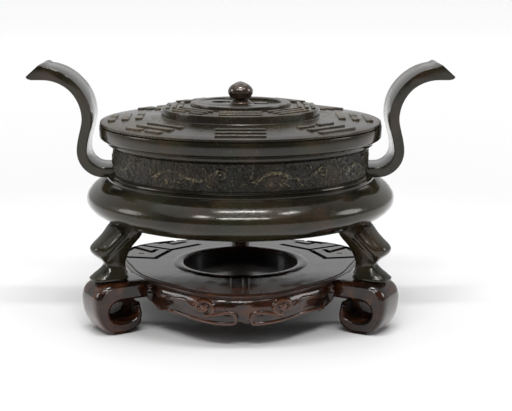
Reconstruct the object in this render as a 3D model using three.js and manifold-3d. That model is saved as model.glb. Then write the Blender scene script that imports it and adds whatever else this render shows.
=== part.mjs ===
import * as THREE from 'three';
import { mergeVertices } from 'three/addons/utils/BufferGeometryUtils.js';
import Module from 'manifold-3d';

const wasm = await Module();
wasm.setup();

// Lidded bronze tripod censer on its carved hardwood stand.
// Millimetres, +Z up. Each piece is drawn round the censer's axis; the group is then
// moved along Y so that the middle of the whole outline stands on the origin.

// Fits
const restGap = 0.3;            // between pieces that only rest on each other
const flangeClearance = 1.2;    // lid's locating ring inside the mouth
const overrun = 1.5;            // how far a cutting shape runs past the piece it cuts

// Stand
const standHeight = 26.8;
const boardThickness = 10;
const boardLip = 1.3;
const boardLipHeight = 3.2;
const apronRadius = 71;
const apronWaist = 60.5;
const apronHalfTurn = 45;       // from an apron's middle to its waist, in degrees
const apronThickness = 8.5;
const apronDrop = 15.4;
const footReach = 90;
const standFootWidth = 22;
const scrollBand = 7.6;
const scrollTip = 1.9;          // thin end of the curl
const footWeb = 5;              // wall across the middle of a foot's hollow
const footRoot = 50;            // where a foot's outline starts, under the deck
const shoulderShare = 0.645;    // underside of a foot's shoulder, as a share of the height
const tipShare = 0.59;          // top of the curled tip, as a share of the height
const wellRadius = 31;
const wellDepth = 6.5;
const wellBead = 2.8;
const wellBeadRise = 0.9;
const slotWidth = 3.4;
const slotDepth = 1.3;

// Censer body
const bodyClearHeight = 23.8;   // stand top to the underside of the belly
const bellyHeight = 25;
const neckRadius = 68.2;
const bellySwell = 14.1;        // belly proud of the neck
const neckHeight = 18.2;
const rimOverhang = 6.8;        // rim band proud of the neck
const rimHeight = 7.2;
const bronzeWall = 4.2;
const reliefDepth = 0.9;

// Censer feet
const legCount = 3;
const legReach = 6;             // toe's outer edge beyond the belly
const legDepth = 20.3;          // toe's inner to outer edge
const legWidth = 15;

// Handles
const handleThickness = 5.3;
const handleRootDepth = 26;
const handleTipDepth = 34;
const handleStubHeight = 27.6;  // spine above the belly's underside at the root
const handleBend = 11;
const handleSweep = 23.7;
const handleRise = 29.8;
const handleTipRun = 7.8;

// Lid and knob
const lidInset = 0.4;           // lid's edge in from the rim's face
const lidEdge = 1.4;
const lidSlope = 2.7;
const lidWall = 2.8;
const stepRadius = 42.3;
const stepHeight = 4.3;
const crownRadius = 26.7;
const crownHeight = 1.9;
const discRadius = 21.7;
const recessDepth = 1.7;
const barHeight = 1.3;
const outerBar = { length: 25, width: 3.7, pitch: 7.2, radius: 60.5 };
const innerBar = { length: 22, width: 1.9, pitch: 3.6, radius: 34.8 };
const knobRadius = 6.5;
const knobHeight = 12.3;
const knobFoot = 6.1;
const knobNeck = 4.1;

// Places and heights worked out from the sizes above
const bellyRadius = neckRadius + bellySwell;
const rimRadius = neckRadius + rimOverhang;
const legOuter = bellyRadius + legReach;
const legInner = legOuter - legDepth;
const lidRadius = rimRadius - lidInset;
const bodyBase = standHeight + restGap;
const bellyUnder = standHeight + bodyClearHeight;
const neckBase = bellyUnder + bellyHeight;
const rimBase = neckBase + neckHeight;
const rimTop = rimBase + rimHeight + 1.9;
const mouthRadius = neckRadius - bronzeWall;
const lidBase = rimTop + restGap;
const lidShoulder = lidBase + lidEdge + lidSlope;
const stepTop = lidShoulder + stepHeight;
const crownTop = stepTop + 0.7 + crownHeight;
const knobBase = crownTop - recessDepth + restGap;
const spreadTurn = 360 / legCount;
const spread = (2 * Math.PI) / legCount;

const rad = THREE.MathUtils.degToRad;
const v2 = (x, y) => new THREE.Vector2(x, y);
const v3 = (x, y, z) => new THREE.Vector3(x, y, z);

// Solids for joining and cutting
function toSolid(geometry) {
  const bare = geometry.clone();
  bare.deleteAttribute('normal');
  bare.deleteAttribute('uv');
  const merged = mergeVertices(bare, 1e-4);
  const index = merged.index.array;
  const kept = [];
  for (let i = 0; i < index.length; i += 3) {
    const [a, b, c] = [index[i], index[i + 1], index[i + 2]];
    if (a !== b && b !== c && c !== a) kept.push(a, b, c);
  }
  const mesh = new wasm.Mesh({
    numProp: 3,
    vertProperties: new Float32Array(merged.attributes.position.array),
    triVerts: new Uint32Array(kept),
  });
  return new wasm.Manifold(mesh);
}

function toGeometry(solid) {
  const mesh = solid.getMesh();
  const geometry = new THREE.BufferGeometry();
  geometry.setAttribute('position', new THREE.BufferAttribute(mesh.vertProperties, 3));
  geometry.setIndex(new THREE.BufferAttribute(mesh.triVerts, 1));
  geometry.computeVertexNormals();
  return geometry;
}

const joinAll = (solids) => solids.reduce((sum, solid) => sum.add(solid));
const cutAll = (solid, cutters) => cutters.reduce((left, cutter) => left.subtract(cutter), solid);

// Turned shape from radius and height pairs, closed on the axis
function turned(profile, segments) {
  const geometry = new THREE.LatheGeometry(profile.map(([r, z]) => v2(r, z)), segments);
  geometry.rotateX(Math.PI / 2);
  return geometry;
}

// Plan outline raised from one height to another
function raised(shape, from, to, curveSegments = 8) {
  const geometry = new THREE.ExtrudeGeometry(shape, {
    depth: to - from, bevelEnabled: false, curveSegments,
  });
  geometry.translate(0, 0, from);
  return geometry;
}

// Side outline in X and Z, thickened along Y
function sideCut(shape, from, to, curveSegments = 8) {
  const geometry = raised(shape, -to, -from, curveSegments);
  geometry.rotateX(Math.PI / 2);
  return geometry;
}

function turnedBy(geometry, angle) {
  return geometry.clone().rotateZ(angle);
}

// Round bar along a curve
function rod(points, radius, steps, sides) {
  const ring = [];
  for (let i = 0; i < sides; i += 1) {
    const angle = (i / sides) * 2 * Math.PI;
    ring.push(v2(radius * Math.cos(angle), radius * Math.sin(angle)));
  }
  const path = new THREE.CatmullRomCurve3(points);
  return new THREE.ExtrudeGeometry(new THREE.Shape(ring), { steps, extrudePath: path });
}

// Rings of points joined into one closed skin
function loft(rings) {
  const count = rings[0].length;
  const positions = rings.flat().flatMap((p) => [p.x, p.y, p.z]);
  const index = [];
  for (let i = 0; i + 1 < rings.length; i += 1) {
    for (let j = 0; j < count; j += 1) {
      const k = (j + 1) % count;
      const [a, b, c, d] = [i * count + j, i * count + k, (i + 1) * count + j, (i + 1) * count + k];
      index.push(a, b, d, a, d, c);
    }
  }
  const last = (rings.length - 1) * count;
  for (let j = 1; j + 1 < count; j += 1) {
    index.push(0, j + 1, j);
    index.push(last, last + j, last + j + 1);
  }
  const geometry = new THREE.BufferGeometry();
  geometry.setAttribute('position', new THREE.Float32BufferAttribute(positions, 3));
  geometry.setIndex(index);
  return geometry;
}

// Rounded section of a foot, lying across the radius
function legRing(inner, outer, width, height, sides = 10) {
  const middle = (inner + outer) / 2;
  const half = (outer - inner) / 2;
  const ring = [];
  for (let i = 0; i < sides; i += 1) {
    const angle = ((i + 0.5) / sides) * 2 * Math.PI;
    const [c, s] = [Math.cos(angle), Math.sin(angle)];
    const square = (value) => Math.sign(value) * Math.abs(value) ** 0.7;
    ring.push(v3(middle + half * square(c), (width / 2) * square(s), height));
  }
  return ring;
}

// Stand plan: three lobed aprons between three feet, apron centres at 270, 30 and 150 degrees
function apronReach(turn) {
  const halfTurn = spreadTurn / 2;
  const off = Math.abs(((turn + halfTurn) % spreadTurn + spreadTurn) % spreadTurn - halfTurn);
  const swell = Math.cos(rad(Math.min(off, apronHalfTurn) * 180 / apronHalfTurn)) * 0.5 + 0.5;
  return apronWaist + (apronRadius - apronWaist) * swell;
}

function standPlan(grow) {
  const points = [];
  for (let turn = 0; turn < 360; turn += 10) {
    const reach = apronReach(turn) + grow;
    const angle = rad(turn - 90);
    points.push(v2(reach * Math.cos(angle), reach * Math.sin(angle)));
  }
  return new THREE.Shape(points);
}

// Cloud-shaped lower edge of an apron, as the space below it
function apronUnderShape() {
  const low = standHeight - apronDrop;
  const side = apronWaist + overrun;
  const shape = new THREE.Shape();
  shape.moveTo(-side, -overrun);
  shape.lineTo(side, -overrun);
  shape.lineTo(side, low + 8);
  shape.lineTo(52, low + 5.6);
  shape.quadraticCurveTo(46.5, low + 4.4, 41.4, low - 0.5);
  shape.quadraticCurveTo(39.6, low + 1.4, 36.6, low + 0.9);
  shape.quadraticCurveTo(31, low + 1.4, 26, low + 0.9);
  shape.quadraticCurveTo(16, low - 0.4, 10, low - 0.2);
  shape.quadraticCurveTo(4, low - 0.4, 0, low + 1.4);
  shape.quadraticCurveTo(-4, low - 0.4, -10, low - 0.2);
  shape.quadraticCurveTo(-16, low - 0.4, -26, low + 0.9);
  shape.quadraticCurveTo(-31, low + 1.4, -36.6, low + 0.9);
  shape.quadraticCurveTo(-39.6, low + 1.4, -41.4, low - 0.5);
  shape.quadraticCurveTo(-46.5, low + 4.4, -52, low + 5.6);
  shape.lineTo(-side, low + 8);
  shape.closePath();
  return shape;
}

// Point on an apron's face at a sideways place and a height, slightly proud of it
function apronFace(x, z, proud) {
  let turn = 0;
  for (let i = 0; i < 8; i += 1) turn = THREE.MathUtils.radToDeg(Math.asin(x / apronReach(turn)));
  const reach = apronReach(turn) + proud;
  const angle = rad(turn - 90);
  return v3(reach * Math.cos(angle), reach * Math.sin(angle), z);
}

// Raised bead that follows the cloud edge, and two volutes with round eyes
function apronCarving() {
  const low = standHeight - apronDrop;
  const beads = [];
  for (const side of [-1, 1]) {
    const edge = [
      [4, low + 1.9], [12, low + 1.5], [24, low + 2.4], [33, low + 2.8], [40, low + 2.6], [46.5, low + 5.6],
    ];
    beads.push(rod(edge.map(([x, z]) => apronFace(side * x, z, 0.2)), 1.3, 7, 4));
    const volute = [];
    for (let i = 0; i <= 8; i += 1) {
      const angle = rad(-60 + i * 50);
      const size = 6 - i * 0.46;
      const x = 18.5 - size * Math.cos(angle);
      const z = standHeight - 7.2 + size * 0.85 * Math.sin(angle);
      volute.push(apronFace(side * x, z, 0.1));
    }
    beads.push(rod(volute, 1.1, 10, 4));
    const tail = [[25, low + 8.5], [31, low + 10.4], [38, low + 9.6], [43, low + 11.6]];
    beads.push(rod(tail.map(([x, z]) => apronFace(side * x, z, 0)), 1.1, 4, 4));
  }
  return beads.map(toSolid);
}

// Scroll foot: a band that rolls over the shoulder, down and back up to a thin curled tip
function scrollFootShape() {
  const top = standHeight;
  const reach = footReach;
  const inner = reach - scrollBand;
  const up = (share) => share * standHeight;
  const under = up(shoulderShare);
  const tip = up(tipShare);
  const shape = new THREE.Shape();
  shape.moveTo(footRoot, top);
  shape.lineTo(reach - 10, top);
  shape.bezierCurveTo(reach - 3.5, top, reach, up(0.832), reach, up(0.646));
  shape.bezierCurveTo(reach, up(0.373), reach - 2.5, up(0.112), reach - 8, 0);
  shape.lineTo(reach - 16, 0);
  shape.bezierCurveTo(reach - 21, up(0.015), reach - 24.6, up(0.097), reach - 25.4, up(0.246));
  shape.bezierCurveTo(reach - 26, up(0.373), reach - 24.6, up(0.47), reach - 24, tip);
  shape.lineTo(reach - 24 + scrollTip, tip);
  shape.bezierCurveTo(reach - 22.6, up(0.5), reach - 23, up(0.433), reach - 22, up(0.358));
  shape.bezierCurveTo(reach - 21, up(0.284), reach - 17.6, up(0.246), reach - 14, up(0.246));
  shape.bezierCurveTo(reach - 10.2, up(0.246), inner, up(0.328), inner, up(0.44));
  shape.bezierCurveTo(inner, up(0.575), inner - 3, under, inner - 7.4, under);
  shape.bezierCurveTo(inner - 11.4, under, inner - 14.4, under, inner - 21.6, under);
  shape.lineTo(footRoot, under);
  shape.closePath();
  return shape;
}

// Wall across the middle of a foot's hollow, set well into the band all round
function footWebShape() {
  const reach = footReach;
  const middle = reach - scrollBand / 2;
  const up = (share) => share * standHeight;
  const shape = new THREE.Shape();
  shape.moveTo(reach - 23.6, up(0.25));
  shape.lineTo(reach - 23.2, up(shoulderShare + 0.04));
  shape.lineTo(reach - 13, up(shoulderShare + 0.1));
  shape.lineTo(middle, up(0.6));
  shape.lineTo(middle, up(0.36));
  shape.lineTo(reach - 8, up(0.15));
  shape.lineTo(reach - 14, up(0.12));
  shape.lineTo(reach - 20.4, up(0.14));
  shape.closePath();
  return shape;
}

// Plan of a foot, with its outer corners rounded off
function footPlan() {
  const half = standFootWidth / 2;
  const corner = 0.5 * half;
  const shape = new THREE.Shape();
  shape.moveTo(footRoot - overrun, -half);
  shape.lineTo(footReach - corner, -half);
  shape.quadraticCurveTo(footReach, -half, footReach, -half + corner);
  shape.lineTo(footReach, half - corner);
  shape.quadraticCurveTo(footReach, half, footReach - corner, half);
  shape.lineTo(footRoot - overrun, half);
  shape.closePath();
  return shape;
}

// Straight groove in the stand's top between two points of its plan
function strokeSlot(from, to) {
  const run = to.clone().sub(from);
  const box = new THREE.BoxGeometry(run.length() + slotWidth, slotWidth, slotDepth + 1);
  box.translate(run.length() / 2, 0, 0).rotateZ(run.angle());
  box.translate(from.x, from.y, standHeight + (1 - slotDepth) / 2);
  return toSolid(box);
}

// Angular hooks of a key fret on one side of the stand's top, mirrored to the other side
function fretSlots() {
  const hooks = [
    [[24.6, 41.2], [39, 28.5], [56.5, 39.6]],
    [[32.8, 47.7], [38.6, 42.6], [43, 46.6]],
    [[38, 52], [46.5, 45], [49, 45.8]],
    [[40.4, 25], [47, 7.8], [61.6, 10.5]],
    [[47.8, 28], [50, 23], [60.5, 34.5], [63.5, 25.5]],
  ];
  const slots = [];
  for (const side of [-1, 1]) {
    for (const hook of hooks) {
      const points = hook.map(([x, y]) => v2(side * x, y));
      for (let i = 1; i < points.length; i += 1) slots.push(strokeSlot(points[i - 1], points[i]));
    }
  }
  return slots;
}

function makeStand() {
  const deckBottom = standHeight - boardThickness;
  const lipBottom = standHeight - boardLipHeight;
  const low = standHeight - apronDrop - 3;
  const deck = toSolid(raised(standPlan(0), deckBottom, standHeight));
  const lip = toSolid(raised(standPlan(boardLip), lipBottom, standHeight));
  const skirt = toSolid(raised(standPlan(0), low, standHeight - 1));
  const room = toSolid(raised(standPlan(-apronThickness), low - 1, deckBottom));
  const under = [0, 1, 2].map((i) => {
    const cutter = sideCut(apronUnderShape(), -footReach, -apronWaist / 2, 2);
    return toSolid(turnedBy(cutter, i * spread));
  });
  const web = toSolid(sideCut(footWebShape(), -footWeb / 2, footWeb / 2, 4));
  const feet = [0, 1, 2].map((i) => {
    const band = toSolid(sideCut(scrollFootShape(), -standFootWidth / 2, standFootWidth / 2, 3));
    const foot = band.add(web);
    const plan = toSolid(raised(footPlan(), -1, standHeight + 1, 2));
    return foot.intersect(plan).rotate([0, 0, 90 + i * spreadTurn]);
  });
  const skirtCut = cutAll(skirt.subtract(room), under);
  const carving = [];
  const carved = apronCarving();
  for (let i = 0; i < 3; i += 1) {
    for (const bead of carved) carving.push(bead.rotate([0, 0, i * spreadTurn]));
  }
  const beadTop = standHeight + wellBeadRise;
  const bead = toSolid(turned([
    [0, standHeight - 1], [wellRadius + 2 * wellBead, standHeight - 1],
    [wellRadius + 2 * wellBead, standHeight],
    [wellRadius + 1.5 * wellBead, beadTop], [wellRadius + 0.5 * wellBead, beadTop], [wellRadius, standHeight],
    [0, standHeight],
  ], 32));
  const well = toSolid(turned([
    [0, standHeight - wellDepth], [wellRadius, standHeight - wellDepth], [wellRadius, standHeight + 2],
    [0, standHeight + 2],
  ], 32));
  const body = joinAll([deck, lip, skirtCut, ...feet, ...carving, bead]);
  return cutAll(body.subtract(well), fretSlots());
}

// Censer body
function bodyProfile() {
  const top = rimTop;
  return [
    [0, bellyUnder], [bellyRadius - 38, bellyUnder + 0.6], [bellyRadius - 21, bellyUnder + 1.8],
    [bellyRadius - 11.3, bellyUnder + 4], [bellyRadius - 4.7, bellyUnder + 7.2],
    [bellyRadius - 0.9, bellyUnder + 10.4], [bellyRadius, bellyUnder + 13.4],
    [bellyRadius - 0.9, neckBase - 8.4], [bellyRadius - 4.1, neckBase - 4.6],
    [neckRadius + 6, neckBase - 2.1], [neckRadius + 2.6, neckBase - 0.9],
    [neckRadius + 2.8, neckBase + 0.2], [neckRadius + 1.4, neckBase + 1],
    [neckRadius, neckBase + 2.2], [neckRadius, rimBase - 1.6], [neckRadius + 1, rimBase - 0.9],
    [neckRadius + 0.9, rimBase], [neckRadius + 2.8, rimBase + 0.7], [rimRadius - 2, rimBase + 1.3],
    [rimRadius, rimBase + 2.9], [rimRadius, top - 0.5], [rimRadius - 0.5, top], [0, top],
  ];
}

function cavityProfile() {
  const wall = bronzeWall;
  return [
    [0, bellyUnder + wall], [bellyRadius - 38, bellyUnder + wall + 0.6],
    [bellyRadius - 22, bellyUnder + wall + 1.9], [bellyRadius - 13.3, bellyUnder + wall + 4.2],
    [bellyRadius - 7.8, bellyUnder + wall + 7], [bellyRadius - wall, bellyUnder + 13.4],
    [bellyRadius - 7.8, neckBase - 6.6], [mouthRadius, neckBase - 1],
    [mouthRadius, rimTop + 5], [0, rimTop + 5],
  ];
}

function makeLeg() {
  const under = bellyUnder;
  const base = bodyBase;
  const span = under - base;
  const rings = [
    legRing(legInner, legOuter, legWidth, base),
    legRing(legInner + 0.4, legOuter - 0.3, legWidth - 0.4, base + 0.13 * span),
    legRing(legInner + 1.5, legOuter - 4.8, legWidth - 3.4, base + 0.28 * span),
    legRing(legInner + 1.6, legOuter - 7.8, legWidth - 4.8, base + 0.45 * span),
    legRing(legInner + 1, legOuter - 5.2, legWidth - 2.6, base + 0.6 * span),
    legRing(legInner - 2, legOuter - 1.2, legWidth + 1.4, base + 0.79 * span),
    legRing(legInner - 6, legOuter - 1.6, legWidth + 3.4, base + 0.95 * span),
    legRing(legInner - 9, legOuter - 5, legWidth + 4, under + 3.6),
    legRing(legInner - 8, legOuter - 9, legWidth + 2, under + 8),
  ];
  return loft(rings);
}

// Handle spine in X and Z: stub out of the neck, tight bend up, wide sweep out to the tip
function handleSpine() {
  const root = bellyUnder + handleStubHeight;
  const stubEnd = neckRadius + 4.3;
  const waist = stubEnd + handleBend;
  const waistTop = root + handleRise;
  const path = new THREE.Path();
  path.moveTo(mouthRadius + 1, root);
  path.lineTo(stubEnd, root);
  path.absarc(stubEnd, root + handleBend, handleBend, -Math.PI / 2, 0, false);
  const sweepX = waist - 3.2 + handleSweep;
  path.bezierCurveTo(waist, root + handleBend + 6, waist - 3.2, waistTop - 6, waist - 3.2, waistTop - 1);
  path.absarc(sweepX, waistTop - 1, handleSweep, Math.PI, Math.PI * 0.53, true);
  return path;
}

function makeHandle() {
  const spine = handleSpine();
  const steps = 20;
  const upper = [];
  const lower = [];
  for (let i = 0; i <= steps; i += 1) {
    const share = i / steps;
    const point = spine.getPointAt(share);
    const way = spine.getTangentAt(share);
    const half = (handleThickness / 2) * (1 + 0.3 * Math.max(0, share - 0.8) / 0.2);
    upper.push(v2(point.x - way.y * half, point.y + way.x * half));
    lower.push(v2(point.x + way.y * half, point.y - way.x * half));
  }
  const tip = spine.getPointAt(1);
  lower.push(v2(tip.x + handleTipRun, tip.y - 3.6));
  lower.push(v2(tip.x + handleTipRun + 1.6, tip.y - 1.8));
  upper.push(v2(tip.x + handleTipRun - 5.2, tip.y + 4.5));
  const outline = new THREE.Shape([...lower, ...upper.reverse()]);
  const geometry = sideCut(outline, -0.5, 0.5);
  const place = geometry.attributes.position;
  const rise = tip.y - bellyUnder - handleStubHeight;
  for (let i = 0; i < place.count; i += 1) {
    const share = THREE.MathUtils.clamp((place.getZ(i) - bellyUnder - handleStubHeight) / rise, 0, 1);
    place.setY(i, place.getY(i) * THREE.MathUtils.lerp(handleRootDepth, handleTipDepth, share));
  }
  return geometry;
}

// Low relief on the neck: curled cloud bands and a striding beast, eight times round
function neckRelief() {
  const middle = (neckBase + rimBase) / 2;
  const pieces = [];
  const onNeck = (turn, z, proud) => {
    const reach = neckRadius + proud;
    return v3(reach * Math.cos(rad(turn)), reach * Math.sin(rad(turn)), z);
  };
  const repeats = 8;
  for (let i = 0; i < repeats; i += 1) {
    const turn = ((i + 0.5) * 360) / repeats;
    const wave = [];
    for (let j = 0; j <= 8; j += 1) {
      const share = j / 8;
      wave.push(onNeck(turn - 17 + share * 34, middle + 3.2 * Math.sin(share * 2 * Math.PI), 0));
    }
    pieces.push(rod(wave, reliefDepth, 5, 4));
  }
  return pieces.map(toSolid);
}

function makeBurner() {
  const shell = toSolid(turned(bodyProfile(), 40));
  const legs = [];
  for (let i = 0; i < legCount; i += 1) {
    legs.push(toSolid(turnedBy(makeLeg(), rad(90) + (i * 2 * Math.PI) / legCount)));
  }
  const handle = makeHandle();
  const handles = [toSolid(handle), toSolid(turnedBy(handle, Math.PI))];
  const cavity = toSolid(turned(cavityProfile(), 24));
  return joinAll([shell, ...legs, ...handles, ...neckRelief()]).subtract(cavity);
}

// Lid: two broad steps and a sunk disc, hollow underneath, with a ring that drops in the mouth
function makeLid() {
  const flangeOuter = mouthRadius - flangeClearance;
  const flangeInner = flangeOuter - lidWall;
  const stepCore = stepRadius - lidWall;
  const shell = toSolid(turned([
    [0, crownTop - recessDepth - lidWall], [stepCore - 0.6, stepTop - lidWall],
    [stepCore, lidShoulder - lidWall], [flangeInner, lidBase + 0.9], [flangeInner, lidBase - 4],
    [flangeOuter, lidBase - 4], [flangeOuter, lidBase], [lidRadius, lidBase],
    [lidRadius, lidBase + lidEdge - 0.3],
    [lidRadius - 0.5, lidBase + lidEdge], [stepRadius, lidShoulder], [stepRadius - 0.3, stepTop],
    [crownRadius, stepTop + 0.7], [crownRadius - 0.2, crownTop], [0, crownTop],
  ], 28));
  const bars = [...trigramBars(outerBar, lidShoulder - lidSlope * 0.55),
    ...trigramBars(innerBar, stepTop + 0.3)];
  const seat = toSolid(turned([
    [0, crownTop - recessDepth], [knobFoot + 1.3, crownTop - recessDepth], [knobFoot + 1.3, crownTop + 1],
    [0, crownTop + 1],
  ], 24));
  const lid = joinAll([shell, ...bars]).subtract(toSolid(darkComma())).subtract(seat);
  return lid.subtract(commaDot(-1, crownTop + 1)).add(commaDot(1, crownTop - recessDepth + barHeight));
}

// Eight groups of three bars; a broken bar is two short ones
const brokenBars = [[1, 1, 1], [0, 1, 1], [1, 0, 1], [0, 0, 1], [0, 0, 0], [1, 0, 0], [0, 1, 0], [1, 1, 0]];

function trigramBars(bar, surface) {
  const bars = [];
  brokenBars.forEach((rows, i) => {
    rows.forEach((whole, row) => {
      const reach = bar.radius + (row - 1) * bar.pitch;
      const gap = bar.length * 0.16;
      const lengths = whole ? [[0, bar.length]] : [-1, 1].map((side) => {
        const half = (bar.length - gap) / 2;
        return [side * (half + gap) / 2, half];
      });
      for (const [along, length] of lengths) {
        const box = new THREE.BoxGeometry(length, bar.width, 2 * barHeight + 1);
        box.translate(along, -reach, surface - 0.5 + (bar.radius - reach) * 0.08);
        bars.push(toSolid(box.rotateZ(rad(i * 45))));
      }
    });
  });
  return bars;
}

// Sunk comma of the two-comma disc, its head to the right and bulging forward
function darkComma() {
  const shape = new THREE.Shape();
  const half = discRadius / 2;
  shape.absarc(0, 0, discRadius, 0, Math.PI, false);
  shape.absarc(-half, 0, half, Math.PI, 0, true);
  shape.absarc(half, 0, half, Math.PI, 2 * Math.PI, false);
  return raised(shape, crownTop - recessDepth, crownTop + 1, 14);
}

// Round dot of a comma's head, from the recess up to a height: cut in one, raised in the other
function commaDot(side, top) {
  const shape = new THREE.Shape();
  shape.absarc(side * discRadius / 2, 0, discRadius * 0.18, 0, 2 * Math.PI, false);
  const floor = crownTop - recessDepth;
  return toSolid(raised(shape, side < 0 ? floor : floor - 0.5, top, 6));
}

function makeKnob() {
  const h = knobHeight;
  const z = knobBase;
  return turned([
    [0, z], [knobFoot, z], [knobFoot, z + 0.06 * h], [knobNeck + 0.7, z + 0.13 * h], [knobNeck, z + 0.19 * h],
    [knobNeck + 0.9, z + 0.27 * h], [knobRadius - 0.7, z + 0.38 * h], [knobRadius, z + 0.52 * h],
    [knobRadius - 0.5, z + 0.66 * h], [knobRadius - 2, z + 0.8 * h], [knobRadius - 4, z + 0.9 * h],
    [1, z + 0.96 * h], [0, z + h],
  ], 16);
}

function piece(name, geometry, color, roughness, metalness) {
  const mesh = new THREE.Mesh(geometry, new THREE.MeshStandardMaterial({ color, roughness, metalness }));
  mesh.name = name;
  return mesh;
}

const censer = new THREE.Group();
censer.add(piece('stand', toGeometry(makeStand()), 0x35120d, 0.3, 0));
censer.add(piece('burner', toGeometry(makeBurner()), 0x38352a, 0.4, 0.85));
censer.add(piece('lid', toGeometry(makeLid()), 0x3a382f, 0.45, 0.85));
censer.add(piece('lid_knob', makeKnob(), 0x4a2417, 0.25, 0.1));
censer.position.y = (bellyRadius - footReach) / 2;

export default censer;
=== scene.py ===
import math
import bpy
import numpy as np
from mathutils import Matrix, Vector


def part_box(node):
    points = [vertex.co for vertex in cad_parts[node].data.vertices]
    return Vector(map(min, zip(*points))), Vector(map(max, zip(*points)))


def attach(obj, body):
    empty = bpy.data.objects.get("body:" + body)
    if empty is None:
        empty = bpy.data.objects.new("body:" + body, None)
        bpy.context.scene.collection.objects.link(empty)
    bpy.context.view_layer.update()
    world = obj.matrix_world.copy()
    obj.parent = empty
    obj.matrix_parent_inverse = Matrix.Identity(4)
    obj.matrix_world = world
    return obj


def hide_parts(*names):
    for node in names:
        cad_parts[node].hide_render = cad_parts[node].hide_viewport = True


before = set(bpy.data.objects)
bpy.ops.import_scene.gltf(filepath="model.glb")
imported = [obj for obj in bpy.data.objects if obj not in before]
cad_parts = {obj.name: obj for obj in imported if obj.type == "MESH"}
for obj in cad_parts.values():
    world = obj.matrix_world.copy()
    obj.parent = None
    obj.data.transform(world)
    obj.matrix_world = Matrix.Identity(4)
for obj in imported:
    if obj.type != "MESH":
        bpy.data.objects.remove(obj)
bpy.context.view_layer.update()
mm = 0.001

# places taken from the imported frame, in mm where they aren't corners of a box
lidLow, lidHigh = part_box("lid")
knobLow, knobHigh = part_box("lid_knob")
burnerLow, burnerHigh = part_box("burner")
standLow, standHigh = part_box("stand")
axisX = (lidLow[0] + lidHigh[0]) / 2
axisY = (lidLow[1] + lidHigh[1]) / 2
beadRise = 0.9
deckTop = standHigh[2] / mm - beadRise
legBase = burnerLow[2] / mm
lidInset = 0.4
rimOverhang = 6.8
bellyOverhang = 7.3
flangeDepth = 4
rimRadius = (lidHigh[0] - lidLow[0]) / 2 / mm + lidInset
neckRadius = rimRadius - rimOverhang
bellyRadius = rimRadius + bellyOverhang
lidBase = lidLow[2] / mm + flangeDepth
print("frame read", deckTop, legBase, lidBase)


# small helpers

def deselectAll():
    if bpy.context.object and bpy.context.object.mode != "OBJECT":
        bpy.ops.object.mode_set(mode="OBJECT")
    bpy.ops.object.select_all(action="DESELECT")


def makeActive(piece):
    deselectAll()
    piece.select_set(True)
    bpy.context.view_layer.objects.active = piece


def editWhole():
    bpy.ops.object.mode_set(mode="EDIT")
    bpy.ops.mesh.select_all(action="SELECT")


def place(x, y, z):
    return Vector((axisX + x * mm, axisY + y * mm, z * mm))


# a point at a radius and a sideways step, turned about the censer's axis
def around(radius, degrees, z, side=0.0):
    turn = math.radians(degrees)
    c, s = math.cos(turn), math.sin(turn)
    return place(radius * c - side * s, radius * s + side * c, z)


# the same for whole arrays
def turnedPoints(radius, side, z, degrees):
    turn = np.radians(degrees)
    x = radius * np.cos(turn) - side * np.sin(turn)
    y = radius * np.sin(turn) + side * np.cos(turn)
    return np.column_stack([axisX + x * mm, axisY + y * mm, z * mm + 0 * x])


def smoothStep(low, high, value):
    share = np.clip((value - low) / (high - low), 0, 1)
    return share * share * (3 - 2 * share)


def meshPoints(piece):
    points = np.empty(len(piece.data.vertices) * 3)
    piece.data.vertices.foreach_get("co", points)
    return points.reshape(-1, 3)


def setMeshPoints(piece, points):
    piece.data.vertices.foreach_set("co", np.ascontiguousarray(points).ravel())
    piece.data.update()


def applyModifier(piece, kind, **settings):
    makeActive(piece)
    modifier = piece.modifiers.new(kind.lower(), kind)
    for key, value in settings.items():
        setattr(modifier, key, value)
    bpy.ops.object.modifier_apply(modifier=modifier.name)


def bevelEdges(piece, width, segments, degrees=30):
    applyModifier(piece, "BEVEL", width=width * mm, segments=segments, limit_method="ANGLE",
                  angle_limit=math.radians(degrees))


def zeroPlace(piece):
    makeActive(piece)
    bpy.ops.object.transform_apply(location=True, rotation=True, scale=True)


def smoothShade(piece, degrees=38):
    makeActive(piece)
    bpy.ops.object.shade_smooth_by_angle(angle=math.radians(degrees))


def tidyMesh(piece, reach=0.00001):
    makeActive(piece)
    editWhole()
    bpy.ops.mesh.remove_doubles(threshold=reach)
    bpy.ops.mesh.normals_make_consistent(inside=False)
    bpy.ops.object.mode_set(mode="OBJECT")


def joinPieces(pieces, name):
    deselectAll()
    for piece in pieces:
        piece.select_set(True)
    bpy.context.view_layer.objects.active = pieces[0]
    if len(pieces) > 1:
        bpy.ops.object.join()
    pieces[0].name = name
    return pieces[0]


# one vertex, extruded from point to point, as a profile is drawn by hand
def drawPath(name, points):
    deselectAll()
    bpy.ops.mesh.primitive_plane_add(size=0.001, location=(0, 0, 0))
    path = bpy.context.object
    path.name = name
    editWhole()
    bpy.ops.mesh.merge(type="CENTER")
    bpy.ops.transform.translate(value=points[0])
    for before, after in zip(points, points[1:]):
        bpy.ops.mesh.extrude_region_move(TRANSFORM_OT_translate={"value": after - before})
    bpy.ops.object.mode_set(mode="OBJECT")
    return path


def spinRound(name, profile, steps):
    piece = drawPath(name, [place(radius, 0, z) for radius, z in profile])
    editWhole()
    bpy.ops.mesh.spin(steps=steps, angle=2 * math.pi, center=(axisX, axisY, 0), axis=(0, 0, 1))
    bpy.ops.object.mode_set(mode="OBJECT")
    tidyMesh(piece)
    return piece


# a closed outline filled and thickened along one direction
def fillAndExtrude(name, points, along):
    piece = drawPath(name, points)
    editWhole()
    bpy.ops.mesh.edge_face_add()
    bpy.ops.mesh.extrude_region_move(TRANSFORM_OT_translate={"value": along})
    bpy.ops.object.mode_set(mode="OBJECT")
    tidyMesh(piece)
    return piece


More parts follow.
